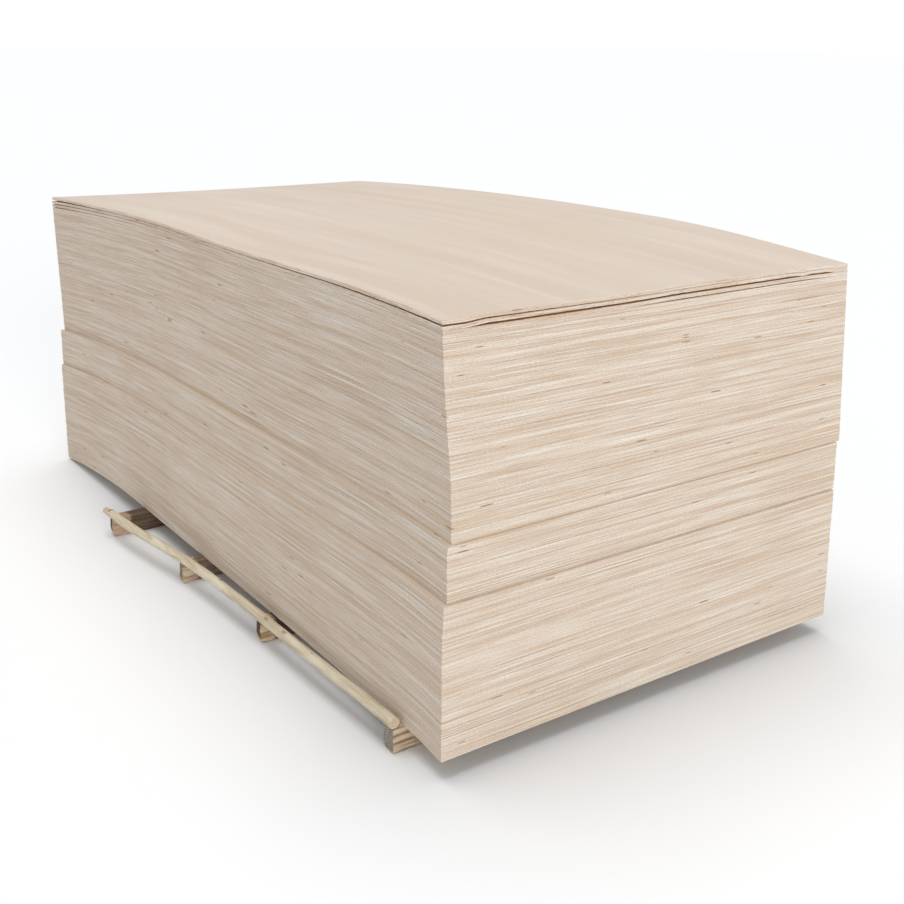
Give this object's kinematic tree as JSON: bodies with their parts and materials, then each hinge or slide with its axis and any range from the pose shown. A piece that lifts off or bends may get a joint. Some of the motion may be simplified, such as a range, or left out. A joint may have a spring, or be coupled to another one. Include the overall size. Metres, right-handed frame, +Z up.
{
  "type": "stack of plywood sheets",
  "caption": "Tall stack of thin plywood sheets, bowed and loosely squared, on timber bearers with a peeled pole laid on the bearer ends.",
  "frame": {"origin": "middle of the object's outline on the floor, under the stack", "axes": "+X along the sheets towards the end with the small droop, +Y across them away from the pole, +Z up"},
  "size_m": [2.4584, 1.4219, 1.0183],
  "materials": {
    "plywood": "raw sawn edge, matte",
    "face_veneer": "raw sanded veneer, matte",
    "bearer_timber": "rough sawn, weathered",
    "peeled_wood": "peeled round wood, matte"
  },
  "bodies": {
    "root": {"lower_bundle": "plywood", "middle_bundle": "plywood", "upper_bundle": "plywood", "third_sheet": "plywood", "second_sheet": "plywood", "top_sheet": "face_veneer", "bearer_1": "bearer_timber", "bearer_2": "bearer_timber", "bearer_3": "bearer_timber", "bearer_4": "bearer_timber", "pole": "peeled_wood"}
  },
  "joints": []
}
